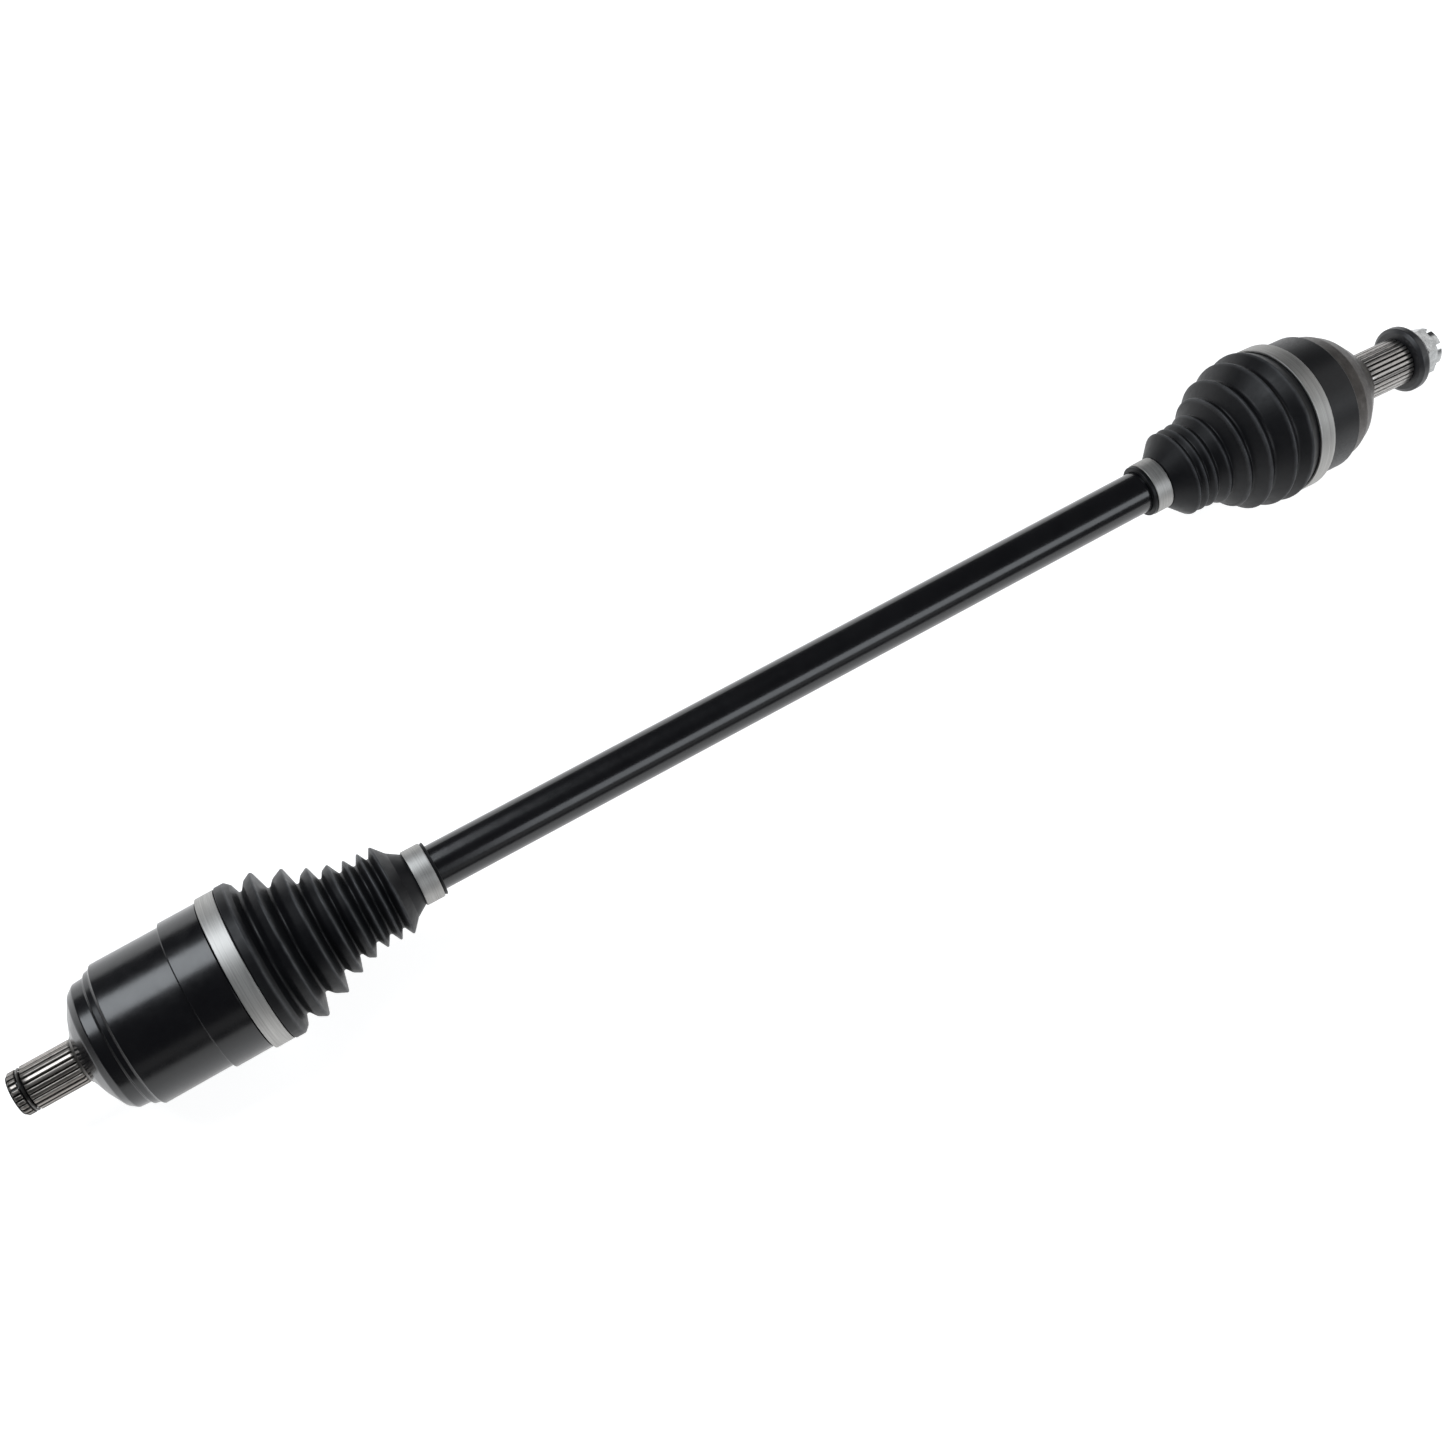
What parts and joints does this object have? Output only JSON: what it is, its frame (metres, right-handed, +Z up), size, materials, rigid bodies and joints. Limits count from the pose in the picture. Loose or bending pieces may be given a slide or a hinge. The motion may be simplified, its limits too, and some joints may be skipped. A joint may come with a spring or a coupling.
{
  "type": "cv axle",
  "caption": "Off-road half shaft: solid black bar with a plunging ball joint and a fixed ball joint, ribbed rubber boots, steel band clamps, splined stubs and a castle nut.",
  "frame": {"origin": "on the bar's axis, at the middle of the whole shaft's length", "axes": "+X along the bar towards the wheel (outboard) end, +Z up as it lies on a bench, +Y to the left of +X"},
  "size_m": [0.9482, 0.0952, 0.096],
  "materials": {
    "bar_gloss_black": "gloss black paint",
    "inboard_housing_black": "satin gloss black, dark bare steel on the splines",
    "outboard_housing_black": "satin black, brown-grey phosphate on the taper and spline",
    "boot_rubber": "matt moulded rubber",
    "clamp_stainless": "brushed stainless band",
    "hardened_steel": "ground and greased",
    "ball_steel": "polished bearing steel",
    "spring_steel": "black oxide",
    "washer_black": "satin black",
    "nut_zinc": "bright zinc"
  },
  "bodies": {
    "shaft": {"axle_bar": "bar_gloss_black", "outboard_inner_race": "hardened_steel", "outboard_race_circlip": "spring_steel", "inboard_inner_race": "hardened_steel", "inboard_race_circlip": "spring_steel", "outboard_boot_clamp_small": "clamp_stainless", "inboard_boot_clamp_small": "clamp_stainless"},
    "outboard_ball_upper": {"outboard_ball_1": "ball_steel"},
    "outboard_cage_set": {"outboard_cage": "hardened_steel", "outboard_ball_2": "ball_steel", "outboard_ball_3": "ball_steel", "outboard_ball_5": "ball_steel", "outboard_ball_6": "ball_steel"},
    "outboard_ball_lower": {"outboard_ball_4": "ball_steel"},
    "outboard_hub": {"outboard_housing": "outboard_housing_black", "outboard_boot": "boot_rubber", "outboard_boot_clamp_large": "clamp_stainless", "hub_washer": "washer_black"},
    "castle_nut_set": {"castle_nut": "nut_zinc"},
    "inboard_ball_upper": {"inboard_ball_1": "ball_steel"},
    "inboard_cage_set": {"inboard_cage": "hardened_steel", "inboard_ball_2": "ball_steel", "inboard_ball_3": "ball_steel", "inboard_ball_5": "ball_steel", "inboard_ball_6": "ball_steel"},
    "inboard_ball_lower": {"inboard_ball_4": "ball_steel"},
    "inboard_boot_set": {"inboard_boot": "boot_rubber"},
    "inboard_cup": {"inboard_housing": "inboard_housing_black", "inboard_stub_circlip": "spring_steel", "inboard_retaining_ring": "spring_steel", "inboard_boot_clamp_large": "clamp_stainless"}
  },
  "joints": [
    {"name": "outboard_tilt", "type": "hinge", "parent": "shaft", "child": "outboard_ball_upper", "pos_m": [0.349, 0, 0], "axis": [0, 1, 0], "range_deg": [-15, 6], "deforming": ["outboard_boot"]},
    {"name": "outboard_swing", "type": "hinge", "parent": "outboard_ball_upper", "child": "outboard_cage_set", "pos_m": [0.349, 0, 0], "axis": [0.0785, 0, 0.9969], "range_deg": [-10.5, 10.5], "deforming": ["outboard_boot"]},
    {"name": "outboard_swing_second_half", "type": "hinge", "parent": "outboard_cage_set", "child": "outboard_ball_lower", "pos_m": [0.349, 0, 0], "axis": [0.0785, 0, 0.9969], "range_deg": [-10.5, 10.5], "deforming": ["outboard_boot"]},
    {"name": "outboard_tilt_second_half", "type": "hinge", "parent": "outboard_ball_lower", "child": "outboard_hub", "pos_m": [0.349, 0, 0], "axis": [0, 1, 0], "range_deg": [-15, 6], "deforming": ["outboard_boot"]},
    {"name": "castle_nut_turn", "type": "hinge", "parent": "outboard_hub", "child": "castle_nut_set", "pos_m": [0.45765, 0, -0.01721], "axis": [0.9877, 0, -0.1564], "range_deg": [0, 60]},
    {"name": "inboard_tilt", "type": "hinge", "parent": "shaft", "child": "inboard_ball_upper", "pos_m": [-0.36, 0, 0], "axis": [0, -1, 0], "range_deg": [-8.5, 4.5], "deforming": ["inboard_boot"]},
    {"name": "inboard_swing", "type": "hinge", "parent": "inboard_ball_upper", "child": "inboard_cage_set", "pos_m": [-0.36, 0, 0], "axis": [-0.0349, 0, 0.9994], "range_deg": [-6.5, 6.5], "deforming": ["inboard_boot"]},
    {"name": "inboard_swing_second_half", "type": "hinge", "parent": "inboard_cage_set", "child": "inboard_ball_lower", "pos_m": [-0.36, 0, 0], "axis": [-0.0349, 0, 0.9994], "range_deg": [-6.5, 6.5], "deforming": ["inboard_boot"]},
    {"name": "inboard_tilt_second_half", "type": "hinge", "parent": "inboard_ball_lower", "child": "inboard_boot_set", "pos_m": [-0.36, 0, 0], "axis": [0, -1, 0], "range_deg": [-8.5, 4.5], "deforming": ["inboard_boot"]},
    {"name": "inboard_plunge", "type": "slide", "parent": "inboard_boot_set", "child": "inboard_cup", "axis": [-0.9976, 0, -0.0698], "range_m": [-0.012, 0.0075], "deforming": ["inboard_boot"]}
  ],
  "couplings": [
    {"joint": "outboard_swing_second_half", "follows": "outboard_swing", "ratio": 1},
    {"joint": "outboard_tilt_second_half", "follows": "outboard_tilt", "ratio": 1},
    {"joint": "inboard_swing_second_half", "follows": "inboard_swing", "ratio": 1},
    {"joint": "inboard_tilt_second_half", "follows": "inboard_tilt", "ratio": 1}
  ]
}
